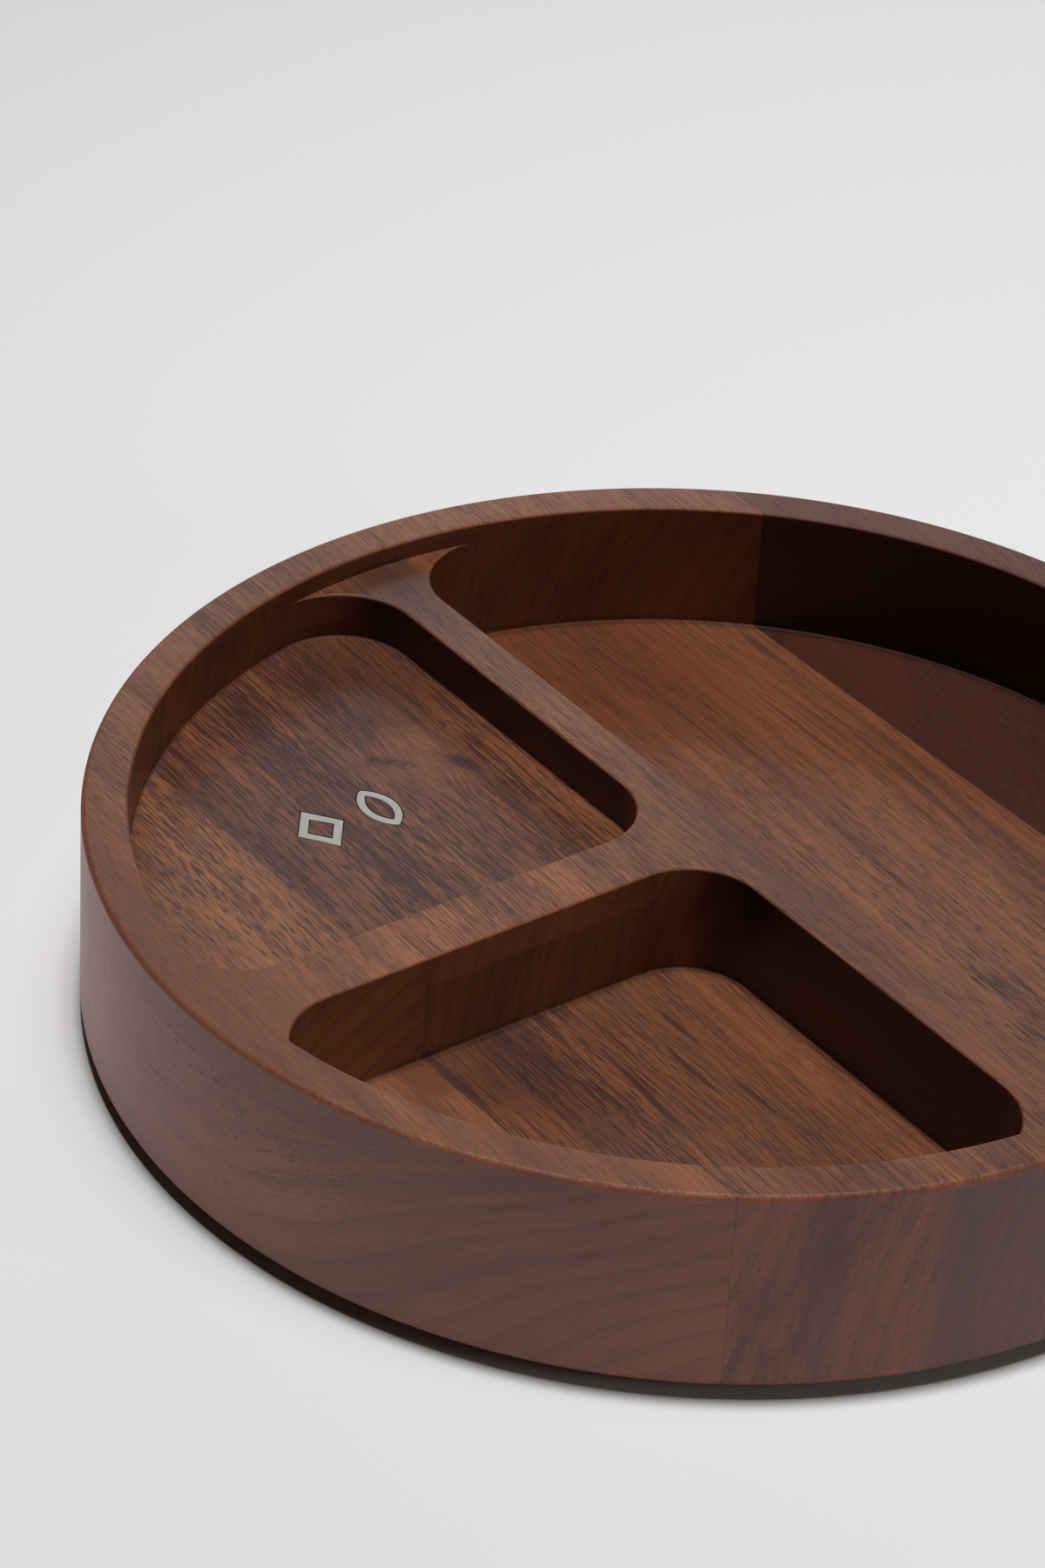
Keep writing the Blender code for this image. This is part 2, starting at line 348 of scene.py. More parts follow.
    # oiled satin: pores and fibres give it its touch, and the edges are rubbed duller
    def finishWood(self, colour):
        pores = self.lines * wood["lineHeight"] + self.dashes * wood["dashHeight"]
        height = self.fibre * wood["fibreHeight"] - pores * self.poreShare
        normal = self.bump(height, wood["grainDepth"], wood["grainStrength"])
        roughness = self.look["roughness"] + self.dashes * wood["dashRoughness"]
        roughness = roughness + (self.fibre - 0.5) * wood["fibreRoughness"]
        roughness = roughness + self.edge * wood["edgeRoughness"]
        self.finish(Base_Color=colour, Roughness=roughness, Normal=normal)


# each board's own look: where its pith lies and how its grain runs, in mm, its colours,
# and how strongly each part of the grain shows
frontLook = {
    "seed": (11.0, 3.0, 7.0),
    "pithY": -30.0,
    "pithZ": -55.0,
    "pithReach": 90.0,
    "slant": 0.05,
    "wander": 8.0,
    "ringWidth": 5.5,
    "light": (0.262, 0.097, 0.038),
    "dark": (0.196, 0.067, 0.027),
    "streak": (0.098, 0.033, 0.020),
    "pore": (0.060, 0.021, 0.016),
    "streaks": 0.30,
    "late": 0.35,
    "fibres": 0.35,
    "lines": 0.50,
    "dashes": 0.75,
    "crowding": 0.03,
    "lineFrom": 0.55,
    "dashFrom": 0.60,
    "roughness": 0.38,
}
centreLook = {
    "seed": (2.0, 5.0, 1.0),
    "pithY": 260.0,
    "pithZ": -40.0,
    "pithReach": 260.0,
    "slant": 0.03,
    "wander": 9.0,
    "ringWidth": 4.6,
    "light": (0.228, 0.079, 0.030),
    "dark": (0.171, 0.055, 0.023),
    "streak": (0.070, 0.022, 0.014),
    "pore": (0.036, 0.010, 0.008),
    "streaks": 0.50,
    "late": 0.25,
    "fibres": 0.45,
    "lines": 0.90,
    "dashes": 0.85,
    "crowding": 0.06,
    "lineFrom": 0.545,
    "dashFrom": 0.62,
    "roughness": 0.38,
}
backLook = {
    "seed": (8.0, 1.0, 9.0),
    "pithY": 60.0,
    "pithZ": 130.0,
    "pithReach": 120.0,
    "slant": 0.22,
    "wander": 14.0,
    "ringWidth": 16.0,
    "light": (0.064, 0.015, 0.006),
    "dark": (0.044, 0.011, 0.005),
    "streak": (0.030, 0.008, 0.006),
    "pore": (0.018, 0.005, 0.004),
    "streaks": 0.35,
    "late": 0.25,
    "fibres": 0.35,
    "lines": 0.50,
    "dashes": 0.50,
    "crowding": 0.0,
    "lineFrom": 0.55,
    "dashFrom": 0.60,
    "roughness": 0.38,
}


# a soft oval in the grain: its middle and its reach in mm, then what it does to the wood
def oval(x, y, long, wide, **effects):
    return {"x": x, "y": y, "long": long, "wide": wide, **effects}


warmTan = (0.26, 0.090, 0.033)
eyeBlack = (0.025, 0.008, 0.006)
darkLine = (0.040, 0.014, 0.011)
faintLine = (0.062, 0.020, 0.014)
rimTan = (0.225, 0.078, 0.030)
dullEnd = (0.070, 0.036, 0.034)

# marks in the centre board
shallowMarks = [
    # the knot: calm warm wood round it, a dark heart with three small eyes, and a smudge
    oval(-64, -27, 18, 11, spread=0.6, pores=-0.75, share=0.3, tint=(0.215, 0.068, 0.024)),
    oval(-69.6, -22, 5.5, 3.5, share=0.45, tint=warmTan),
    oval(-60.5, -36.6, 4.5, 3.5, share=0.45, tint=warmTan),
    oval(-54.2, -24, 5, 2.6, share=0.4, tint=warmTan),
    oval(-66, -32, 5, 2.6, slant=0.8, core=0.3, share=0.75, tint=(0.058, 0.019, 0.014)),
    oval(-58.3, -19.4, 5.5, 2.6, slant=0.25, core=0.2, share=0.9, tint=(0.033, 0.013, 0.012)),
    oval(-46, -19.6, 14, 2, share=0.6, tint=(0.045, 0.018, 0.014)),
    oval(-79, -18.8, 9, 1.3, share=0.6, tint=(0.045, 0.016, 0.012)),
    oval(-68.9, -35.1, 0.8, 1.7, core=0.4, share=0.9, tint=eyeBlack),
    oval(-66.5, -32.6, 0.8, 1.7, core=0.4, share=0.9, tint=eyeBlack),
    oval(-63.1, -30.2, 0.9, 2.0, core=0.4, share=0.9, tint=eyeBlack),
    oval(-63.1, -30.2, 0.5, 1.2, share=0.8, tint=(0.230, 0.110, 0.070)),
    oval(-70, -42, 12, 5, share=0.4, tint=(0.070, 0.026, 0.017)),
    oval(-60, -69, 65, 11, share=0.6, tint=(0.075, 0.027, 0.018)),
    oval(-98, -18, 30, 24, share=0.6, tint=(0.070, 0.020, 0.008)),
    oval(-45, -56, 45, 24, pores=0.15),
]
deepMarks = [
    oval(40, -30, 70, 9, share=0.5, tint=(0.190, 0.073, 0.032)),
    oval(15, -64, 26, 17, share=0.7, tint=(0.090, 0.029, 0.013)),
    oval(25, -25.5, 9, 0.9, share=0.8, tint=darkLine),
    oval(52, -26.5, 11, 0.9, share=0.8, tint=darkLine),
    oval(38, -32, 12, 1.0, share=0.8, tint=darkLine),
    oval(42, -44.5, 24, 1.1, slant=-0.08, share=0.8, tint=darkLine),
    oval(12, -47.5, 9, 1.0, share=0.7, tint=darkLine),
    oval(30, -57, 60, 9, share=0.45, tint=(0.095, 0.031, 0.020)),
    oval(12, -73.5, 22, 1.6, share=0.7, tint=darkLine),
    # thin dark streaks at the left of the large compartment
    oval(-78, 76, 10, 1.6, share=0.7, tint=(0.052, 0.017, 0.012)),
    oval(-47, 69, 18, 0.8, share=0.6, tint=faintLine),
    oval(-46, 63.5, 26, 0.9, share=0.6, tint=faintLine),
    oval(-41, 48.5, 13, 0.9, share=0.6, tint=faintLine),
    oval(-82, 34, 16, 3.5, share=0.4, tint=(0.070, 0.023, 0.014)),
    oval(-92, 40, 46, 40, share=0.7, tint=(0.130, 0.034, 0.009)),
    # the pores are clearest in the middle of the floors
    oval(48, 36, 75, 34, pores=0.8),
    oval(30, -60, 50, 30, pores=0.5),
]
ribMarks = [
    oval(-108, -1, 26, 12, share=0.85, tint=(0.070, 0.024, 0.013)),
    oval(-76, 0, 26, 12, share=0.4, tint=(0.090, 0.036, 0.024)),
    oval(30, -1, 60, 12, share=0.35, tint=(0.075, 0.024, 0.014)),
    oval(-2, -50, 22, 42, share=0.5, tint=(0.350, 0.125, 0.058)),
]
rimMarks = [
    oval(-112, 22, 22, 40, share=0.6, tint=rimTan),
    oval(-70, 95, 45, 18, share=0.5, tint=rimTan),
    oval(-116, -45, 18, 30, share=0.7, tint=(0.235, 0.082, 0.034)),
    oval(-103, -65, 20, 18, pores=-0.6, share=0.4, tint=(0.210, 0.073, 0.030)),
]
# the right end of the board is duller, in soft upright bands
endMarks = [
    oval(124, -22, 16, 22, share=0.6, tint=dullEnd),
    oval(124, -34, 12, 5, share=0.4, tint=dullEnd),
    oval(108, -58, 14, 5, share=0.4, tint=(0.080, 0.037, 0.033)),
]
# layers: the lowest and highest z, whether on the outer wall alone, and the ovals
centreMarks = [
    (4.0, 46.0, True, endMarks),
    (32.0, 36.0, False, shallowMarks),
    (18.0, 20.0, False, deepMarks),
    (37.0, 44.0, False, ribMarks),
    (46.5, 49.0, False, rimMarks),
]
# the front board: darker along its front edge; its outer wall is paler and redder at its left end
# and darker towards its right, partly the wood's own colour and partly painted light from the left
frontMarks = [
    (34.0, 46.0, False, [
        oval(-86, -79, 14, 14, slant=-1.05, core=0.3, share=0.7, tint=(0.150, 0.032, 0.006)),
    ]),
    (40.0, 49.0, False, [
        oval(-25, -122, 95, 17, share=0.75, tint=(0.125, 0.038, 0.017)),
    ]),
    (18.0, 20.0, False, [
        oval(8, -77, 14, 6, core=0.3, share=0.7, tint=(0.125, 0.036, 0.013)),
    ]),
    (32.0, 49.0, False, [
        oval(-50, -85, 60, 25, pores=0.7),
    ]),
    # painted light from the left, partly the wood's own colour: the outer wall paler and redder at
    # its left end, darker towards its right
    (3.0, 46.0, True, [
        oval(-80, -110, 85, 45, share=0.9, tint=(0.360, 0.102, 0.048)),
        oval(-20, -125, 55, 30, share=0.5, tint=(0.240, 0.050, 0.026)),
        oval(70, -105, 60, 30, share=0.3, tint=(0.110, 0.036, 0.024)),
    ]),
]
# the back board: a redder patch that ends in a curved line
backMarks = [
    (18.0, 21.0, False, [
        oval(-60, 86, 34, 16, slant=-0.5, core=0.8, share=0.6, tint=(0.076, 0.014, 0.003)),
    ]),
    (46.5, 49.0, False, [
        oval(-50, 105, 95, 45, core=0.4, share=0.7, tint=(0.110, 0.021, 0.007)),
    ]),
]

# the turned and routed body
body = {
    "outerRadius": 0.12696,
    "innerRadius": 0.1175,
    "underside": 0.003,
    "rimTop": 0.048,
    "ribTop": 0.0435,
    "deepFloor": 0.019,
    "shallowFloor": 0.033,
    "longRibBack": 0.004,
    "longRibFront": -0.006,
    "shortRibHalf": 0.007,
    "ribCorner": 0.015,
    "rimCorner": 0.0163,
    "arcStep": math.radians(1.0),
    "cornerStep": math.radians(4.5),
    "edgeWidth": 0.0013,  # the widest rounding, at the bottom; the others are shares of it
    "topShare": 0.92,
    "innerShare": 0.55,
    "lipShare": 0.5,
    "lipFade": 3,  # a lip fades out over this many of its own widths
    "leastLip": 0.02,
    "floorShare": 0.38,
    "edgeSegments": 5,
    "frontSeam": -0.0749,
    "backSeam": 0.0812,
    "seamSlope": 0.0114,
    "glueLine": 0.00004,
    "mergeWithin": 0.000002,
    "levelWithin": 0.000001,
    "smoothBelow": math.radians(35),
}
roundProfile = 0.5
# kinds of edge in the plan; an edge that has just been drawn is plain
plain, rimArc, chain, ribArc = 0, 1, 2, 3


# edges drawn since the last call get a kind and a pocket number
def tagNew(bm, kind, pocket):
    kinds = bm.edges.layers.int["kind"]
    pockets = bm.edges.layers.int["pocket"]
    for edge in bm.edges:
        if edge[kinds] == plain:
            edge[kinds] = kind
            edge[pockets] = pocket


def cornersOf(geometry):
    return [item for item in geometry if isinstance(item, bmesh.types.BMVert)]


# draws an arc on from a corner, about a centre, and gives its last corner
def drawArc(bm, corner, centre, angle, step):
    steps = max(1, math.ceil(abs(angle) / step))
    height = corner.co.z
    made = bmesh.ops.spin(
        bm, geom=[corner], cent=(*centre, height), axis=(0, 0, 1), angle=angle, steps=steps
    )
    return cornersOf(made["geom_last"])[0]


def drawLine(bm, corner, x, y):
    grown = bmesh.ops.extrude_vert_indiv(bm, verts=[corner])["verts"][0]
    grown.co.x = x
    grown.co.y = y
    return grown


# where a pocket corner's arc is centred, so that it meets both the rib and the rim's wall
def cornerCentre(lineDistance):
    reach = body["innerRadius"] - body["rimCorner"]
    along = math.sqrt(reach**2 - lineDistance**2)
    return along, math.atan2(lineDistance, along)


# the inner wall's circle, cut into pocket arcs and rib arcs, with the pockets' rib sides
def drawPlan(bm):
    radius, corner = body["innerRadius"], body["rimCorner"]
    bend, step, small = body["ribCorner"], body["arcStep"], body["cornerStep"]
    level = body["ribTop"]

    backY = body["longRibBack"] + corner
    backX, backTurn = cornerCentre(backY)
    frontY = body["longRibFront"] - corner
    frontX, frontTurn = cornerCentre(frontY)
    shortX = body["shortRibHalf"] + corner
    shortY, shortTurn = cornerCentre(shortX)

    first = bm.verts.new((radius * math.cos(backTurn), radius * math.sin(backTurn), level))
    point = drawArc(bm, first, (0, 0), math.pi - 2 * backTurn, step)
    tagNew(bm, rimArc, 1)
    start = point
    point = drawArc(bm, point, (-backX, backY), math.pi / 2 + backTurn, small)
    point = drawLine(bm, point, backX, body["longRibBack"])
    drawArc(bm, point, (backX, backY), math.pi / 2 + backTurn, small)
    tagNew(bm, chain, 1)

    point = drawArc(bm, start, (0, 0), backTurn - frontTurn, step)
    tagNew(bm, ribArc, 0)

    # left pocket, then right: the rim arc, and the chain back along the ribs
    for pocket, side in ((2, -1), (3, 1)):
        top = Vector((side * frontX, frontY))
        low = Vector((side * shortX, -shortY))
        arcTurn = math.pi / 2 - shortTurn + frontTurn
        start = point
        point = drawArc(bm, start, (0, 0), arcTurn, step)
        tagNew(bm, rimArc, pocket)
        inner = Vector((side * (body["shortRibHalf"] + bend), body["longRibFront"] - bend))
        if side < 0:
            back = drawArc(bm, point, low, math.pi / 2 + shortTurn, small)
            back = drawLine(bm, back, -body["shortRibHalf"], inner.y)
            back = drawArc(bm, back, inner, math.pi / 2, small)
            back = drawLine(bm, back, top.x, body["longRibFront"])
            drawArc(bm, back, top, math.pi / 2 - frontTurn, small)
        else:
            back = drawArc(bm, point, top, math.pi / 2 - frontTurn, small)
            back = drawLine(bm, back, inner.x, body["longRibFront"])
            back = drawArc(bm, back, inner, math.pi / 2, small)
            back = drawLine(bm, back, body["shortRibHalf"], low.y)
            drawArc(bm, back, low, math.pi / 2 + shortTurn, small)
        tagNew(bm, chain, pocket)
        turn = 2 * shortTurn if side < 0 else backTurn - frontTurn
        point = drawArc(bm, point, (0, 0), turn, step)
        tagNew(bm, ribArc, 0)
    bmesh.ops.remove_doubles(bm, verts=bm.verts[:], dist=body["mergeWithin"])


# pushes the rim's open edge on by one wall: up, out, down
def growEdge(bm, edges, lift=0.0, spread=1.0):
    grown = bmesh.ops.extrude_edge_only(bm, edges=edges)["geom"]
    corners = cornersOf(grown)
    bmesh.ops.translate(bm, vec=(0, 0, lift), verts=corners)
    bmesh.ops.scale(bm, vec=(spread, spread, 1), verts=corners)
    return [
        item
        for item in grown
        if isinstance(item, bmesh.types.BMEdge) and all(v in corners for v in item.verts)
    ]


def wholeBody():
    bm = bmesh.new()
    kinds = bm.edges.layers.int.new("kind")
    pockets = bm.edges.layers.int.new("pocket")
    weights = bm.edges.layers.float.new("bevel_weight_edge")
    drawPlan(bm)

    # rib tops, and the three pocket mouths
    ribEdges = [edge for edge in bm.edges if edge[kinds] in (chain, ribArc)]
    circle = [edge for edge in bm.edges if edge[kinds] in (rimArc, ribArc)]
    chains = [edge for edge in bm.edges if edge[kinds] == chain]
    bmesh.ops.contextual_create(bm, geom=ribEdges)
    mouths = []
    for pocket in (1, 2, 3):
        loop = [edge for edge in bm.edges if edge[pockets] == pocket]
        mouths += bmesh.ops.contextual_create(bm, geom=loop)["faces"]

    # lips along the ribs, fading where a corner runs into the rim's wall
    for edge in chains:
        middle = (edge.verts[0].co + edge.verts[1].co) / 2
        room = body["innerRadius"] - middle.xy.length
        fade = min(1.0, room / (body["lipFade"] * body["lipShare"] * body["edgeWidth"]))
        edge[weights] = body["lipShare"] * max(body["leastLip"], fade)

    # pockets down to their floors
    levels = (body["deepFloor"], body["shallowFloor"], body["deepFloor"])
    for mouth, level in zip(mouths, levels):
        grown = bmesh.ops.extrude_face_region(bm, geom=[mouth])["geom"]
        drop = level - body["ribTop"]
        bmesh.ops.translate(bm, vec=(0, 0, drop), verts=cornersOf(grown))
        for item in grown:
            if isinstance(item, bmesh.types.BMFace):
                for edge in item.edges:
                    edge[weights] = body["floorShare"]
        if mouth.is_valid:
            bmesh.ops.delete(bm, geom=[mouth], context="FACES_ONLY")

    # rim and outer wall
    outwards = body["outerRadius"] / body["innerRadius"]
    inside = growEdge(bm, circle, lift=body["rimTop"] - body["ribTop"])
    outside = growEdge(bm, inside, spread=outwards)
    bottom = growEdge(bm, outside, lift=body["underside"] - body["rimTop"])
    bmesh.ops.contextual_create(bm, geom=bottom)
    for edges, share in ((inside, "innerShare"), (outside, "topShare"), (bottom, None)):
        for edge in edges:
            edge[weights] = body[share] if share else 1.0
    bmesh.ops.recalc_face_normals(bm, faces=bm.faces[:])
    return bm


def newObject(name, bm):
    mesh = bpy.data.meshes.new(name)
    bm.to_mesh(mesh)
    bm.free()
    piece = bpy.data.objects.new(name, mesh)
    bpy.context.scene.collection.objects.link(piece)
    return piece


# the body with its modifiers worked in, as a new mesh
def settled(piece):
    graph = bpy.context.evaluated_depsgraph_get()
    mesh = bpy.data.meshes.new_from_object(piece.evaluated_get(graph))
    bpy.data.objects.remove(piece)
    return mesh


def roundedBody():
    piece = newObject("wholeBody", wholeBody())
    bevel = piece.modifiers.new("edges", "BEVEL")
    bevel.width = body["edgeWidth"]
    bevel.segments = body["edgeSegments"]
    bevel.limit_method = "WEIGHT"
    bevel.profile = roundProfile
    bevel.use_clamp_overlap = False
    return settled(piece)


def cutSeam(bm, seamY, side):
    across = Vector((-body["seamSlope"], 1, 0)).normalized() * side
    spot = Vector((0, seamY, 0)) + across * body["glueLine"] / 2
    everything = bm.verts[:] + bm.edges[:] + bm.faces[:]
    bmesh.ops.bisect_plane(bm, geom=everything, plane_co=spot, plane_no=across, clear_inner=True)
    rawEdges = [edge for edge in bm.edges if edge.is_boundary]
    bmesh.ops.contextual_create(bm, geom=rawEdges)


def smoothPiece(piece):
    piece.data.shade_smooth()
    piece.data.set_sharp_from_angle(angle=body["smoothBelow"])
    weighted = piece.modifiers.new("shading", "WEIGHTED_NORMAL")
    weighted.keep_sharp = True


def stave(name, mesh, cuts, material):
    bm = bmesh.new()
    bm.from_mesh(mesh)
    for seamY, side in cuts:
        cutSeam(bm, seamY, side)
    bmesh.ops.remove_doubles(bm, verts=bm.verts[:], dist=body["levelWithin"])
    bmesh.ops.recalc_face_normals(bm, faces=bm.faces[:])
    piece = newObject(name, bm)
    piece.data.materials.clear()
    piece.data.materials.append(material)
    return piece


wholeMesh = roundedBody()
frontSeam, backSeam = body["frontSeam"], body["backSeam"]
frontWood = Walnut("frontWalnut", frontLook, frontMarks).material
centreWood = Walnut("centreWalnut", centreLook, centreMarks).material
backWood = Walnut("backWalnut", backLook, backMarks).material
frontBoard = stave("front_board", wholeMesh, [(frontSeam, -1)], frontWood)
centreBoard = stave("centre_board", wholeMesh, [(frontSeam, 1), (backSeam, -1)], centreWood)
backBoard = stave("back_board", wholeMesh, [(backSeam, 1)], backWood)
boards = (frontBoard, centreBoard, backBoard)
print("three boards cut:", [len(board.data.polygons) for board in boards])

# inlays: a lozenge frame and a leaf frame in brushed steel
inlays = {
    "x": -0.0537,
    "thickness": 0.0015,
    "gap": 0.00022,
    "edge": 0.00012,
    "edgeSegments": 2,
    "sharpAngle": 1.0,  # radians; edges of the frame turn by more
    "arcStep": math.radians(6),
    "lozengeY": -0.0584,
    "lozengeLength": 0.0073,
    "lozengeWidth": 0.0056,
    "lozengeBorder": 0.0019,
    "leafY": -0.0438,
    "leafLength": 0.0073,
    "leafWidth": 0.0039,
    "leafBorder": 0.0017,
    # brushed along X: how the strokes are stretched, and what they and the clouds change
    "strokes": (1.2, 22.0, 22.0),
    "strokeLimits": (0.3, 0.7),
    "cloudScale": 0.5,
    "dark": (0.52, 0.50, 0.48),
    "pale": (0.66, 0.645, 0.625),
    "roughness": 0.3,
    "strokeRoughness": 0.16,
    "cloudRoughness": 0.08,
    "strokeDepth": 0.00002,
    "strokeStrength": 0.35,
}


def brushedSteel():
    paint = Paint("brushedSteel")
    mm = paint.millimetres()
    stroked = paint.vector("MULTIPLY", mm, inlays["strokes"])
    strokes = paint.noise(stroked, 1, detail=3, roughness=0.6)
    cloud = paint.noise(mm, inlays["cloudScale"], detail=2, roughness=0.5)
    bright = paint.smooth(strokes, *inlays["strokeLimits"])
    colour = paint.mix(bright, inlays["dark"], inlays["pale"])
    roughness = inlays["roughness"] + strokes * inlays["strokeRoughness"]
    roughness = roughness + cloud * inlays["cloudRoughness"]
    normal = paint.bump(strokes, inlays["strokeDepth"], inlays["strokeStrength"])
    return paint.finish(Base_Color=colour, Metallic=1.0, Roughness=roughness, Normal=normal)


# lozenge outline, its sides moved outwards by a distance
def lozenge(bm, grown, level):
    length, width = inlays["lozengeLength"], inlays["lozengeWidth"]
    share = 1 + grown * math.hypot(length, width) / (length * width)
    made = bmesh.ops.create_circle(bm, segments=4, radius=1)["verts"]
    bmesh.ops.scale(bm, vec=(length * share, width * share, 1), verts=made)
    bmesh.ops.translate(bm, vec=(inlays["x"], inlays["lozengeY"], level), verts=made)


# leaf outline of two arcs, its sides moved outwards by a distance
def leaf(bm, grown, level):
    length, width = inlays["leafLength"], inlays["leafWidth"]
    drawnRadius = (length**2 + width**2) / (2 * width)
    offset = drawnRadius - width
    tip = math.sqrt((drawnRadius + grown) ** 2 - offset**2)
    turn = math.asin(tip / (drawnRadius + grown))
    middle = Vector((inlays["x"], inlays["leafY"]))
    point = bm.verts.new((middle.x + tip, middle.y, level))
    for side in (-1, 1):
        centre = middle + side * Vector((0, offset))
        point = drawArc(bm, point, centre, 2 * turn, inlays["arcStep"])
    bmesh.ops.remove_doubles(bm, verts=bm.verts[:], dist=body["mergeWithin"])


def roundEdges(bm, edges, width, segments):
    bmesh.ops.bevel(
        bm, geom=edges, offset=width, offset_type="OFFSET", segments=segments,
        profile=roundProfile, affect="EDGES", material=-1, clamp_overlap=True,
    )


# upright frame between an outline's outer and inner line
def frameSolid(outline, border, spare, low, high):
    bm = bmesh.new()
    outline(bm, spare, low)
    outline(bm, -border - spare, low)
    bmesh.ops.bridge_loops(bm, edges=bm.edges[:])
    grown = bmesh.ops.extrude_face_region(bm, geom=bm.faces[:])["geom"]
    bmesh.ops.translate(bm, vec=(0, 0, high - low), verts=cornersOf(grown))
    bmesh.ops.recalc_face_normals(bm, faces=bm.faces[:])
    return bm


def inlayPiece(name, outline, border, material):
    high = body["shallowFloor"]
    low = high - inlays["thickness"]
    bm = frameSolid(outline, border, 0.0, low, high)
    topEdges = [
        edge
        for edge in bm.edges
        if all(abs(v.co.z - high) < body["levelWithin"] for v in edge.verts)
        and edge.calc_face_angle(0) > inlays["sharpAngle"]
    ]
    roundEdges(bm, topEdges, inlays["edge"], inlays["edgeSegments"])
    piece = newObject(name, bm)
    piece.data.materials.append(material)
    smoothPiece(piece)
    return piece


# a hollow to be cut into the centre board
def recess(name, bm):
    cutter = newObject(name, bm)
    cutter.hide_render = True
    cutter.hide_viewport = True
    cutter.display_type = "WIRE"
    cut = centreBoard.modifiers.new(name, "BOOLEAN")
    cut.operation = "DIFFERENCE"
    cut.solver = "EXACT"
    cut.object = cutter
    return cutter


steel = brushedSteel()
low = body["shallowFloor"] - inlays["thickness"] - inlays["gap"]
high = body["ribTop"]
recesses = []
for name, outline, border in (
    ("lozenge", lozenge, inlays["lozengeBorder"]),
    ("leaf", leaf, inlays["leafBorder"]),
):
    piece = inlayPiece(name + "_frame", outline, border, steel)
    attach(piece, "root")
    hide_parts(name + "_inlay")
    recesses.append(recess(name + "Recess", frameSolid(outline, border, inlays["gap"], low, high)))
print("inlays set in")

# rubber pads under the body
feet = {
    "radius": 0.006,
    "edge": 0.0008,
    "edgeSegments": 4,
    "fromCentre": 0.101,
    "turn": math.radians(30),
    "stand": 0.003,
    "recess": 0.0015,
    "gap": 0.0003,
    "sides": 48,
    "grainScale": 6,
    "grainDepth": 0.00004,
    "grainStrength": 0.5,
    "dustScale": 0.7,
    "dustLimits": (0.4, 0.75),
    "black": (0.014, 0.014, 0.014),
    "dusty": (0.034, 0.033, 0.031),
    "roughness": 0.62,
    "dustRoughness": 0.2,
}


def blackRubber():
    paint = Paint("blackRubber")
    mm = paint.millimetres()
    grain = paint.noise(mm, feet["grainScale"], detail=3, roughness=0.6)
    dust = paint.noise(mm, feet["dustScale"], detail=3, roughness=0.6)
    dusty = paint.smooth(dust, *feet["dustLimits"])
    colour = paint.mix(dusty, feet["black"], feet["dusty"])
    roughness = feet["roughness"] + dust * feet["dustRoughness"]
    normal = paint.bump(grain, feet["grainDepth"], feet["grainStrength"])
    return paint.finish(Base_Color=colour, Roughness=roughness, Normal=normal)


def roundSolid(centre, radius, low, high):
    bm = bmesh.new()
    made = bmesh.ops.create_cone(
        bm, cap_ends=True, segments=feet["sides"], radius1=radius, radius2=radius,
        depth=high - low,
    )["verts"]
    bmesh.ops.translate(bm, vec=(*centre, (low + high) / 2), verts=made)
    return bm


rubber = blackRubber()
for name, sideX, sideY in (
    ("front_left", -1, -1),
    ("front_right", 1, -1),
    ("back_left", -1, 1),
    ("back_right", 1, 1),
):
    centre = (
        sideX * feet["fromCentre"] * math.cos(feet["turn"]),
        sideY * feet["fromCentre"] * math.sin(feet["turn"]),
    )
    top = feet["stand"] + feet["recess"]
    bm = roundSolid(centre, feet["radius"], 0, top - feet["gap"])
    lowEdges = [edge for edge in bm.edges if all(v.co.z < body["levelWithin"] for v in edge.verts)]
    roundEdges(bm, lowEdges, feet["edge"], feet["edgeSegments"])
    pad = newObject("pad_" + name, bm)
    pad.data.materials.append(rubber)
    smoothPiece(pad)
    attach(pad, "root")
    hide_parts("foot_" + name)
    hole = roundSolid(centre, feet["radius"] + feet["gap"], 0, top)
    recesses.append(recess("padRecess_" + name, hole))
print("pads in place")

# the recesses are worked in, so that no cutter is left
settledMesh = bpy.data.meshes.new_from_object(
    centreBoard.evaluated_get(bpy.context.evaluated_depsgraph_get())
)
centreBoard.modifiers.clear()
centreBoard.data = settledMesh
for cutter in recesses:
    bpy.data.objects.remove(cutter)
for board, node, slot in (
    (frontBoard, "front_stave", "front_walnut"),
    (centreBoard, "centre_stave", "centre_walnut"),
    (backBoard, "back_stave", "back_walnut"),
):
    smoothPiece(board)
    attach(board, "root")
    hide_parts(node)
print("boards finished")

# floor, light and camera
studio = {
    # painted pool of light on the floor: its colour near the tray and far from it
    "paintedPoolNear": (0.77, 0.77, 0.77),
    "paintedPoolFar": (0.61, 0.61, 0.61),
    "floorSize": 12.0,
    "floorBend": 3.05,  # how fast the floor darkens with distance
    "floorTilt": 0.36,  # and, beside that, to the left
    "floorStart": 0.06,
    "floorRoughness": 0.9,
    "floorSheen": 0.2,
    "worldStrength": 0.01,
    "topStrength": 1.86,  # small light overhead
    "topAngle": math.radians(5.2),
    "topFrom": (-0.035, 0.016, 1.0),
    "boxPlace": (0.10, 0.04, 3.02),  # soft box beside it
    "boxSize": 0.36,
    "boxPower": 23.5,
    "washPlace": (0.25, 0.34, 3.02),  # wider and dimmer, further back
    "washSize": 0.8,
    "washPower": 10.0,
    "sidePlace": (1.36, 0.62, 0.52),  # low on the right
    "sideSize": 0.5,
    "sidePower": 2.2,
    "panelPlace": (-1.30, 1.02, 0.64),  # white panel behind the tray
    "panelSize": (1.5, 0.62),
    "panelPower": 4.6,
    "cameraPlace": (0.70335, -0.59333, 0.66376),
    "cameraTurn": (56.2818, -2.7483, 54.0778),
    "lens": 126.0,
    "nearest": 0.05,
    "farthest": 50,
}


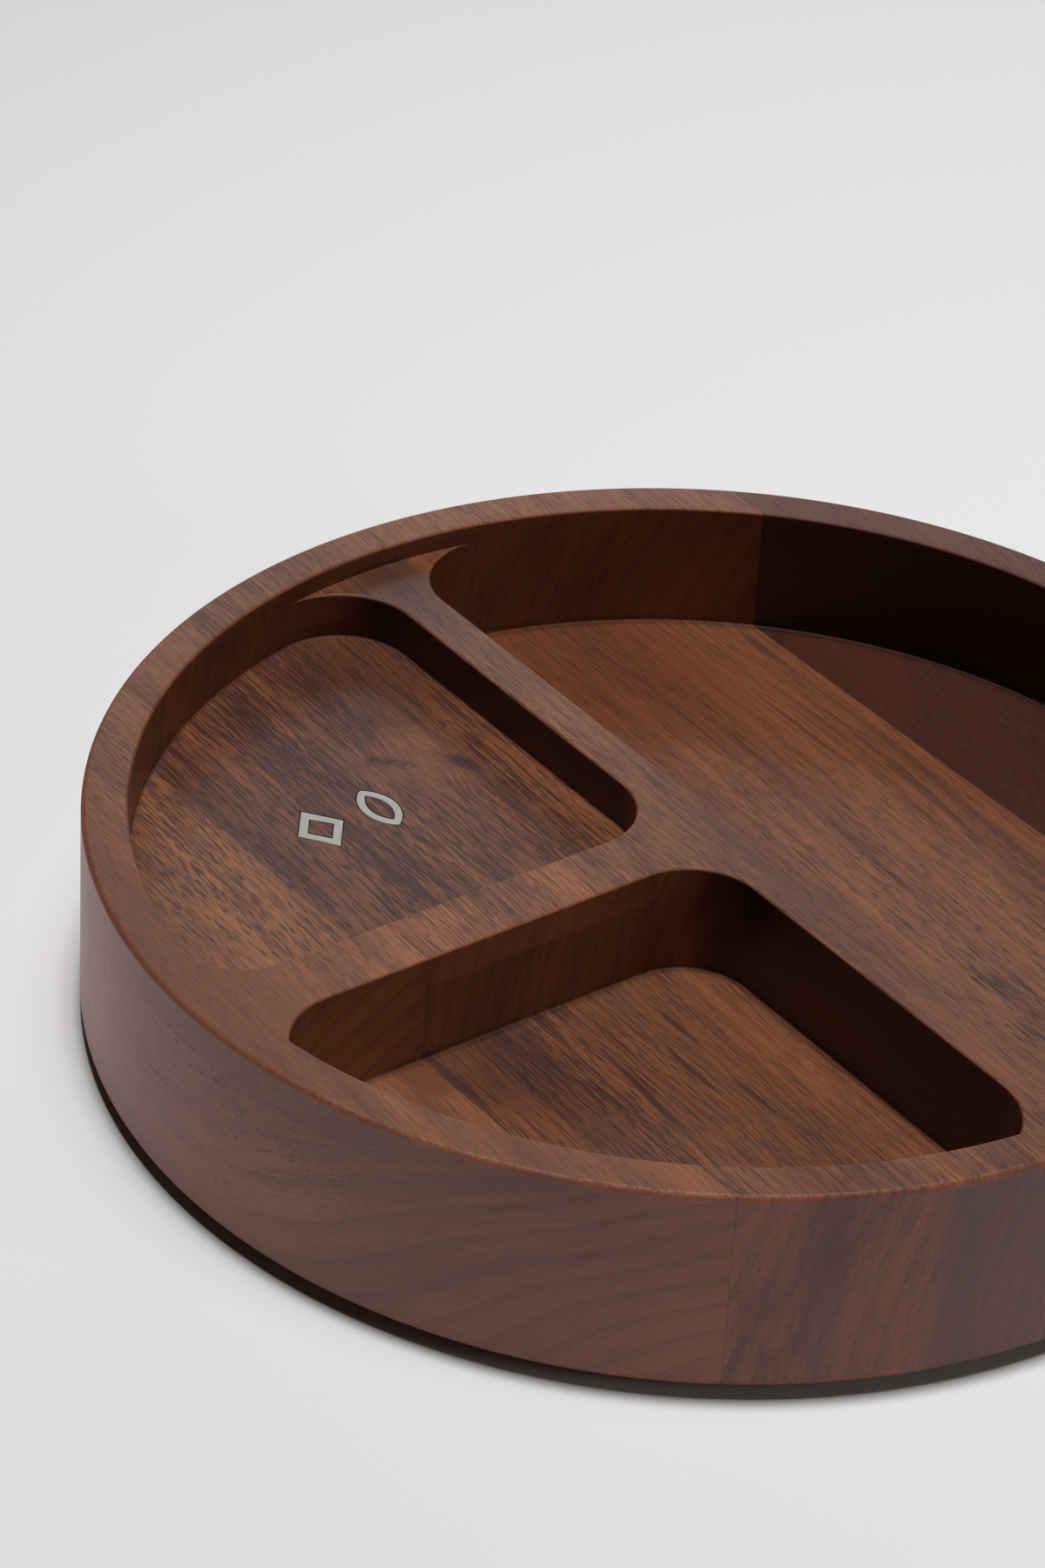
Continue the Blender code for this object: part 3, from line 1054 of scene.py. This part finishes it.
def studioFloor():
    bm = bmesh.new()
    bmesh.ops.create_grid(bm, x_segments=1, y_segments=1, size=studio["floorSize"] / 2)
    floor = newObject("studioFloor", bm)
    paint = Paint("paleFloor")
    x, y = paint.parts(paint.add("ShaderNodeTexCoord", output=3))[:2]
    # painted pool of light: the floor's colour is lighter round the tray and darker away from it,
    # most towards the front
    paintedFalloff = (x * x + y * y) * studio["floorBend"] - x * studio["floorTilt"] - y
    paintedFalloff = paintedFalloff + studio["floorStart"]
    colour = paint.mix(paintedFalloff, studio["paintedPoolNear"], studio["paintedPoolFar"])
    paint.finish(
        Base_Color=colour,
        Roughness=studio["floorRoughness"],
        Specular_IOR_Level=studio["floorSheen"],
    )
    floor.data.materials.append(paint.material)


def addLight(name, kind, place, aim=(0, 0, 0.02)):
    lamp = bpy.data.lights.new(name, kind)
    holder = bpy.data.objects.new(name, lamp)
    holder.location = place
    holder.rotation_euler = (Vector(aim) - Vector(place)).to_track_quat("-Z", "Y").to_euler()
    bpy.context.scene.collection.objects.link(holder)
    return lamp


def addLights():
    top = addLight("topLight", "SUN", studio["topFrom"], (0, 0, 0))
    top.energy = studio["topStrength"]
    top.angle = studio["topAngle"]
    for name in ("box", "wash", "side"):
        lamp = addLight(name + "Light", "AREA", studio[name + "Place"])
        lamp.shape = "DISK"
        lamp.size = studio[name + "Size"]
        lamp.energy = studio[name + "Power"]
    panel = addLight("backPanel", "AREA", studio["panelPlace"])
    panel.shape = "RECTANGLE"
    panel.size, panel.size_y = studio["panelSize"]
    panel.energy = studio["panelPower"]


def addCamera():
    view = bpy.data.cameras.new("camera")
    view.lens = studio["lens"]
    view.clip_start = studio["nearest"]
    view.clip_end = studio["farthest"]
    holder = bpy.data.objects.new("camera", view)
    holder.location = studio["cameraPlace"]
    holder.rotation_euler = [math.radians(turn) for turn in studio["cameraTurn"]]
    bpy.context.scene.collection.objects.link(holder)
    bpy.context.scene.camera = holder


def addWorld():
    world = bpy.data.worlds.new("studioWorld")
    world.use_nodes = True
    bpy.context.scene.world = world
    background = world.node_tree.nodes["Background"]
    background.inputs["Color"].default_value = (1, 1, 1, 1)
    background.inputs["Strength"].default_value = studio["worldStrength"]


studioFloor()
addWorld()
addLights()
addCamera()
bpy.context.scene.view_settings.view_transform = "Standard"
print("studio ready")
